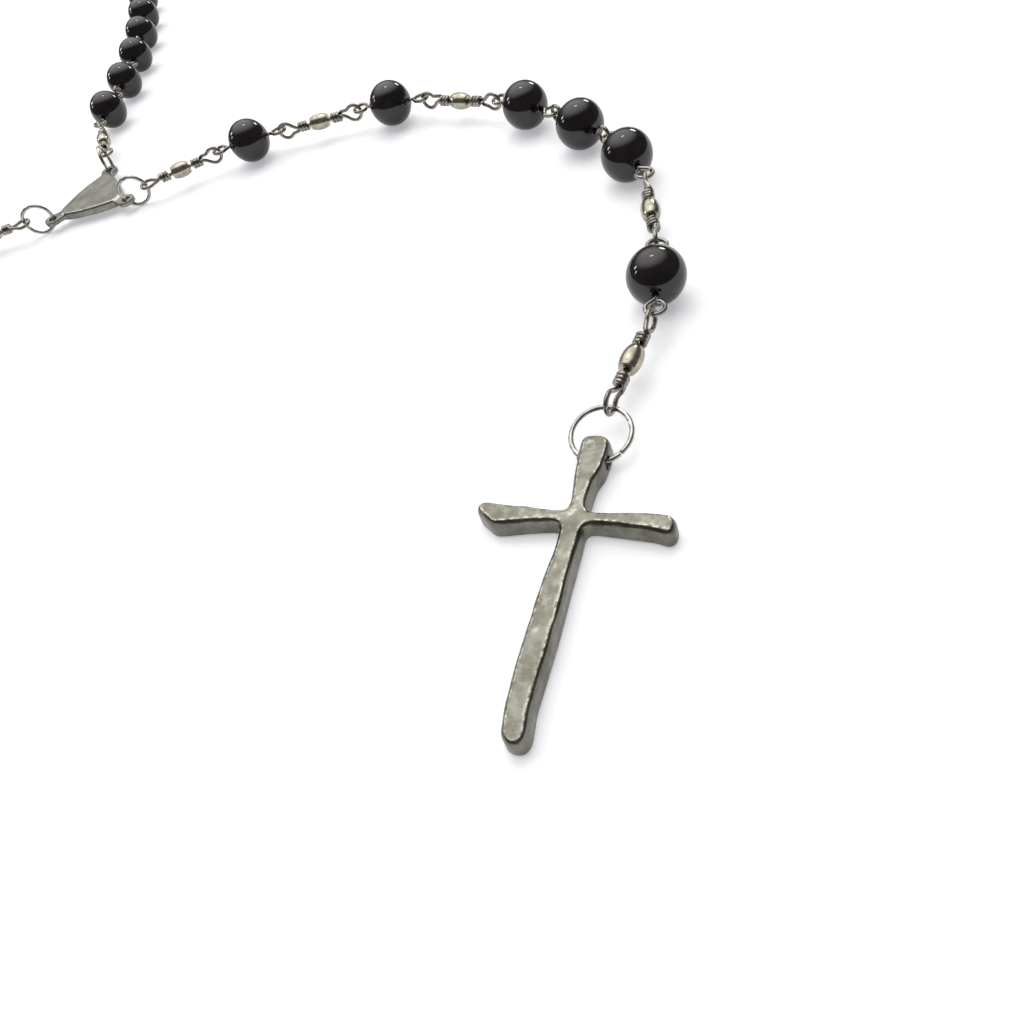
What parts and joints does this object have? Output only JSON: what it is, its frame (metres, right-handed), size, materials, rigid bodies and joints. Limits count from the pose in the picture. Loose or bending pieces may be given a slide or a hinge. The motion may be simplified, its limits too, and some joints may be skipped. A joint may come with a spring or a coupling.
{
  "type": "rosary necklace",
  "caption": "Rosary of black round beads on wire pins, with wire-wrapped barrel links, a three-way centrepiece and a pendant strand that ends in a flared cross.",
  "frame": {"origin": "on the cross's flat back, where its two bars cross; the table it lies on is Z = 0", "axes": "+Y up the cross towards its ring, +X to the cross's right, +Z out of its front face"},
  "size_m": [0.4777, 0.296, 0.008],
  "materials": {
    "black_bead": "polished black",
    "cast_cross": "hammered gunmetal",
    "cast_centre": "satin gunmetal",
    "barrel_metal": "polished gunmetal",
    "ring_wire": "polished gunmetal",
    "chain_wire": "polished gunmetal"
  },
  "bodies": {
    "centrepiece": {"centrepiece": "cast_centre"},
    "cross_ring": {"cross_ring": "ring_wire"},
    "pendant_link_1_wire": {"pendant_link_1_wire": "chain_wire"},
    "pendant_bead_1_pin": {"pendant_bead_1_pin": "chain_wire"},
    "pendant_link_2_wire": {"pendant_link_2_wire": "chain_wire"},
    "pendant_bead_2_pin": {"pendant_bead_2_pin": "chain_wire"},
    "pendant_bead_3_pin": {"pendant_bead_3_pin": "chain_wire"},
    "pendant_bead_4_pin": {"pendant_bead_4_pin": "chain_wire"},
    "pendant_link_3_wire": {"pendant_link_3_wire": "chain_wire"},
    "pendant_bead_5_pin": {"pendant_bead_5_pin": "chain_wire"},
    "pendant_link_4_wire": {"pendant_link_4_wire": "chain_wire"},
    "pendant_bead_6_pin": {"pendant_bead_6_pin": "chain_wire"},
    "pendant_link_5_wire": {"pendant_link_5_wire": "chain_wire"},
    "pendant_ring": {"pendant_ring": "ring_wire"},
    "cross": {"cross": "cast_cross"},
    "pendant_link_1_barrel": {"pendant_link_1_barrel": "barrel_metal"},
    "pendant_bead_1": {"pendant_bead_1": "black_bead"},
    "pendant_link_2_barrel": {"pendant_link_2_barrel": "barrel_metal"},
    "pendant_bead_2": {"pendant_bead_2": "black_bead"},
    "pendant_bead_3": {"pendant_bead_3": "black_bead"},
    "pendant_bead_4": {"pendant_bead_4": "black_bead"},
    "pendant_link_3_barrel": {"pendant_link_3_barrel": "barrel_metal"},
    "pendant_bead_5": {"pendant_bead_5": "black_bead"},
    "pendant_link_4_barrel": {"pendant_link_4_barrel": "barrel_metal"},
    "pendant_bead_6": {"pendant_bead_6": "black_bead"},
    "pendant_link_5_barrel": {"pendant_link_5_barrel": "barrel_metal"},
    "neck_ring_right": {"neck_ring_right": "ring_wire"},
    "neck_link_right_wire": {"neck_link_right_wire": "chain_wire"},
    "neck_link_right_barrel": {"neck_link_right_barrel": "barrel_metal"},
    "decade_1a": {"decade_1a_beads": "black_bead", "decade_1a_pins": "chain_wire"},
    "decade_1b": {"decade_1b_beads": "black_bead", "decade_1b_pins": "chain_wire"},
    "our_father_1": {"our_father_1_bead": "black_bead", "our_father_1_links": "chain_wire"},
    "decade_2a": {"decade_2a_beads": "black_bead", "decade_2a_pins": "chain_wire"},
    "decade_2b": {"decade_2b_beads": "black_bead", "decade_2b_pins": "chain_wire"},
    "our_father_2": {"our_father_2_bead": "black_bead", "our_father_2_links": "chain_wire"},
    "decade_3a": {"decade_3a_beads": "black_bead", "decade_3a_pins": "chain_wire"},
    "neck_ring_left": {"neck_ring_left": "ring_wire"},
    "neck_link_left_wire": {"neck_link_left_wire": "chain_wire"},
    "neck_link_left_barrel": {"neck_link_left_barrel": "barrel_metal"},
    "decade_5b": {"decade_5b_beads": "black_bead", "decade_5b_pins": "chain_wire"},
    "decade_5a": {"decade_5a_beads": "black_bead", "decade_5a_pins": "chain_wire"},
    "our_father_4": {"our_father_4_bead": "black_bead", "our_father_4_links": "chain_wire"},
    "decade_4b": {"decade_4b_beads": "black_bead", "decade_4b_pins": "chain_wire"},
    "decade_4a": {"decade_4a_beads": "black_bead", "decade_4a_pins": "chain_wire"},
    "our_father_3": {"our_father_3_bead": "black_bead", "our_father_3_links": "chain_wire"},
    "decade_3b": {"decade_3b_beads": "black_bead", "decade_3b_pins": "chain_wire"}
  },
  "joints": [
    {"name": "cross_swing", "type": "hinge", "parent": "cross_ring", "child": "cross", "pos_m": [0.0004, 0.00865, 0.0014], "axis": [0.9962, -0.0872, 0], "range_deg": [-70, 70]},
    {"name": "cross_ring_swivel", "type": "hinge", "parent": "pendant_link_1_wire", "child": "cross_ring", "pos_m": [0.00112, 0.01455, 0.00355], "axis": [0, 0, 1], "range_deg": [-48, 48]},
    {"name": "pendant_link_1_swing", "type": "hinge", "parent": "pendant_bead_1_pin", "child": "pendant_link_1_wire", "pos_m": [0.00394, 0.03054, 0.004], "axis": [0.9848, -0.1736, 0], "range_deg": [-70, 70]},
    {"name": "pendant_bead_1_swivel", "type": "hinge", "parent": "pendant_link_2_wire", "child": "pendant_bead_1_pin", "pos_m": [0.00231, 0.04472, 0.00355], "axis": [0, 0, -1], "range_deg": [-77, 63]},
    {"name": "pendant_link_2_swing", "type": "hinge", "parent": "pendant_bead_2_pin", "child": "pendant_link_2_wire", "pos_m": [-0.00189, 0.06041, 0.004], "axis": [-0.9659, -0.2588, 0], "range_deg": [-70, 70]},
    {"name": "pendant_bead_2_swivel", "type": "hinge", "parent": "pendant_bead_3_pin", "child": "pendant_bead_2_pin", "pos_m": [-0.00961, 0.07241, 0.004], "axis": [0, 0, 1], "range_deg": [-54, 86]},
    {"name": "pendant_bead_3_swing", "type": "hinge", "parent": "pendant_bead_4_pin", "child": "pendant_bead_3_pin", "pos_m": [-0.0206, 0.08163, 0.004], "axis": [0.6428, 0.766, 0], "range_deg": [-70, 70]},
    {"name": "pendant_bead_4_swivel", "type": "hinge", "parent": "pendant_link_3_wire", "child": "pendant_bead_4_pin", "pos_m": [-0.03289, 0.08866, 0.00355], "axis": [0, 0, -1], "range_deg": [-85, 55]},
    {"name": "pendant_link_3_swing", "type": "hinge", "parent": "pendant_bead_5_pin", "child": "pendant_link_3_wire", "pos_m": [-0.04864, 0.09258, 0.004], "axis": [-0.2419, -0.9703, 0], "range_deg": [-70, 70]},
    {"name": "pendant_bead_5_swivel", "type": "hinge", "parent": "pendant_link_4_wire", "child": "pendant_bead_5_pin", "pos_m": [-0.06271, 0.09197, 0.00355], "axis": [0, 0, 1], "range_deg": [-59, 81]},
    {"name": "pendant_link_4_swing", "type": "hinge", "parent": "pendant_bead_6_pin", "child": "pendant_link_4_wire", "pos_m": [-0.0781, 0.08784, 0.004], "axis": [-0.2588, 0.9659, 0], "range_deg": [-70, 70]},
    {"name": "pendant_bead_6_swivel", "type": "hinge", "parent": "pendant_link_5_wire", "child": "pendant_bead_6_pin", "pos_m": [-0.0912, 0.08269, 0.00355], "axis": [0, 0, -1], "range_deg": [-82, 58]},
    {"name": "pendant_link_5_swing", "type": "hinge", "parent": "pendant_ring", "child": "pendant_link_5_wire", "pos_m": [-0.10553, 0.07332, 0.00355], "axis": [0.4067, -0.9135, 0], "range_deg": [-70, 70]},
    {"name": "pendant_ring_swivel", "type": "hinge", "parent": "centrepiece", "child": "pendant_ring", "pos_m": [-0.10956, 0.07152, 0.0019], "axis": [0, 0, 1], "range_deg": [-60, 60]},
    {"name": "neck_ring_right_swivel", "type": "hinge", "parent": "centrepiece", "child": "neck_ring_right", "pos_m": [-0.12177, 0.08331, 0.0019], "axis": [0, 0, -1], "range_deg": [0, 40]},
    {"name": "neck_ring_left_swivel", "type": "hinge", "parent": "centrepiece", "child": "neck_ring_left", "pos_m": [-0.12588, 0.06684, 0.0019], "axis": [0, 0, 1], "range_deg": [0, 40]},
    {"name": "neck_link_right_swing", "type": "hinge", "parent": "neck_ring_right", "child": "neck_link_right_wire", "pos_m": [-0.12411, 0.08705, 0.00355], "axis": [-0.848, -0.5299, 0], "range_deg": [-60, 60]},
    {"name": "neck_link_left_swing", "type": "hinge", "parent": "neck_ring_left", "child": "neck_link_left_wire", "pos_m": [-0.1297, 0.06463, 0.00355], "axis": [0.5, -0.866, 0], "range_deg": [-60, 60]},
    {"name": "decade_1a_swivel", "type": "hinge", "parent": "neck_link_right_wire", "child": "decade_1a", "pos_m": [-0.13455, 0.10065, 0.004], "axis": [0, 0, 1], "range_deg": [-50, 0]},
    {"name": "decade_5b_swivel", "type": "hinge", "parent": "neck_link_left_wire", "child": "decade_5b", "pos_m": [-0.1453, 0.05753, 0.004], "axis": [0, 0, -1], "range_deg": [-50, 0]},
    {"name": "decade_1b_swing", "type": "hinge", "parent": "decade_1a", "child": "decade_1b", "pos_m": [-0.16285, 0.16647, 0.004], "axis": [0.8311, 0.5562, 0], "range_deg": [-60, 60]},
    {"name": "decade_5a_swing", "type": "hinge", "parent": "decade_5b", "child": "decade_5a", "pos_m": [-0.20119, 0.0127, 0.004], "axis": [-0.4727, 0.8812, 0], "range_deg": [-60, 60]},
    {"name": "our_father_1_swivel", "type": "hinge", "parent": "decade_1b", "child": "our_father_1", "pos_m": [-0.20857, 0.22084, 0.00355], "axis": [0, 0, -1], "range_deg": [0, 50]},
    {"name": "our_father_4_swivel", "type": "hinge", "parent": "decade_5a", "child": "our_father_4", "pos_m": [-0.26708, -0.01384, 0.00355], "axis": [0, 0, 1], "range_deg": [0, 50]},
    {"name": "decade_2a_swing", "type": "hinge", "parent": "our_father_1", "child": "decade_2a", "pos_m": [-0.24696, 0.24717, 0.004], "axis": [-0.4981, -0.8671, 0], "range_deg": [-60, 60]},
    {"name": "decade_4b_swing", "type": "hinge", "parent": "our_father_4", "child": "decade_4b", "pos_m": [-0.31334, -0.01907, 0.004], "axis": [0.0327, -0.9995, 0], "range_deg": [-60, 60]},
    {"name": "decade_2b_swivel", "type": "hinge", "parent": "decade_2a", "child": "decade_2b", "pos_m": [-0.31612, 0.26587, 0.004], "axis": [0, 0, 1], "range_deg": [-50, 0]},
    {"name": "decade_4a_swivel", "type": "hinge", "parent": "decade_4b", "child": "decade_4a", "pos_m": [-0.38319, -0.00311, 0.004], "axis": [0, 0, -1], "range_deg": [-50, 0]},
    {"name": "our_father_2_swing", "type": "hinge", "parent": "decade_2b", "child": "our_father_2", "pos_m": [-0.3866, 0.25003, 0.004], "axis": [-0.5067, 0.8621, 0], "range_deg": [-60, 60]},
    {"name": "our_father_3_swing", "type": "hinge", "parent": "decade_4a", "child": "our_father_3", "pos_m": [-0.43798, 0.04397, 0.004], "axis": [0.8522, 0.5233, 0], "range_deg": [-60, 60]},
    {"name": "decade_3a_swivel", "type": "hinge", "parent": "our_father_2", "child": "decade_3a", "pos_m": [-0.42378, 0.22218, 0.004], "axis": [0, 0, -1], "range_deg": [0, 50]},
    {"name": "decade_3b_swivel", "type": "hinge", "parent": "our_father_3", "child": "decade_3b", "pos_m": [-0.45773, 0.08601, 0.004], "axis": [0, 0, 1], "range_deg": [0, 50]},
    {"name": "pendant_link_1_barrel_spin", "type": "hinge", "parent": "pendant_link_1_wire", "child": "pendant_link_1_barrel", "pos_m": [0.00261, 0.023, 0.00355], "axis": [0.1736, 0.9848, 0], "continuous": true},
    {"name": "pendant_bead_1_spin", "type": "hinge", "parent": "pendant_bead_1_pin", "child": "pendant_bead_1", "pos_m": [0.00329, 0.03809, 0.004], "axis": [-0.1392, 0.9903, 0], "continuous": true},
    {"name": "pendant_link_2_barrel_spin", "type": "hinge", "parent": "pendant_link_2_wire", "child": "pendant_link_2_barrel", "pos_m": [0.00009, 0.05301, 0.00355], "axis": [-0.2588, 0.9659, 0], "continuous": true},
    {"name": "pendant_bead_2_spin", "type": "hinge", "parent": "pendant_bead_2_pin", "child": "pendant_bead_2", "pos_m": [-0.00577, 0.06691, 0.004], "axis": [-0.5592, 0.829, 0], "continuous": true},
    {"name": "pendant_bead_3_spin", "type": "hinge", "parent": "pendant_bead_3_pin", "child": "pendant_bead_3", "pos_m": [-0.01545, 0.07731, 0.004], "axis": [-0.766, 0.6428, 0], "continuous": true},
    {"name": "pendant_bead_4_spin", "type": "hinge", "parent": "pendant_bead_4_pin", "child": "pendant_bead_4", "pos_m": [-0.02713, 0.08553, 0.004], "axis": [-0.8746, 0.4848, 0], "continuous": true},
    {"name": "pendant_link_3_barrel_spin", "type": "hinge", "parent": "pendant_link_3_wire", "child": "pendant_link_3_barrel", "pos_m": [-0.04121, 0.09073, 0.00355], "axis": [-0.9703, 0.2419, 0], "continuous": true},
    {"name": "pendant_bead_5_spin", "type": "hinge", "parent": "pendant_bead_5_pin", "child": "pendant_bead_5", "pos_m": [-0.05622, 0.09246, 0.004], "axis": [-0.9976, -0.0698, 0], "continuous": true},
    {"name": "pendant_link_4_barrel_spin", "type": "hinge", "parent": "pendant_link_4_wire", "child": "pendant_link_4_barrel", "pos_m": [-0.07099, 0.08975, 0.00355], "axis": [-0.9659, -0.2588, 0], "continuous": true},
    {"name": "pendant_bead_6_spin", "type": "hinge", "parent": "pendant_bead_6_pin", "child": "pendant_bead_6", "pos_m": [-0.08522, 0.08514, 0.004], "axis": [-0.9272, -0.3746, 0], "continuous": true},
    {"name": "pendant_link_5_barrel_spin", "type": "hinge", "parent": "pendant_link_5_wire", "child": "pendant_link_5_barrel", "pos_m": [-0.09831, 0.0779, 0.00355], "axis": [-0.829, -0.5592, 0], "continuous": true},
    {"name": "neck_link_right_barrel_spin", "type": "hinge", "parent": "neck_link_right_wire", "child": "neck_link_right_barrel", "pos_m": [-0.12927, 0.0939, 0.00355], "axis": [-0.6157, 0.788, 0], "continuous": true},
    {"name": "neck_link_left_barrel_spin", "type": "hinge", "parent": "neck_link_left_wire", "child": "neck_link_left_barrel", "pos_m": [-0.13747, 0.06102, 0.00355], "axis": [-0.9135, -0.4067, 0], "continuous": true}
  ]
}
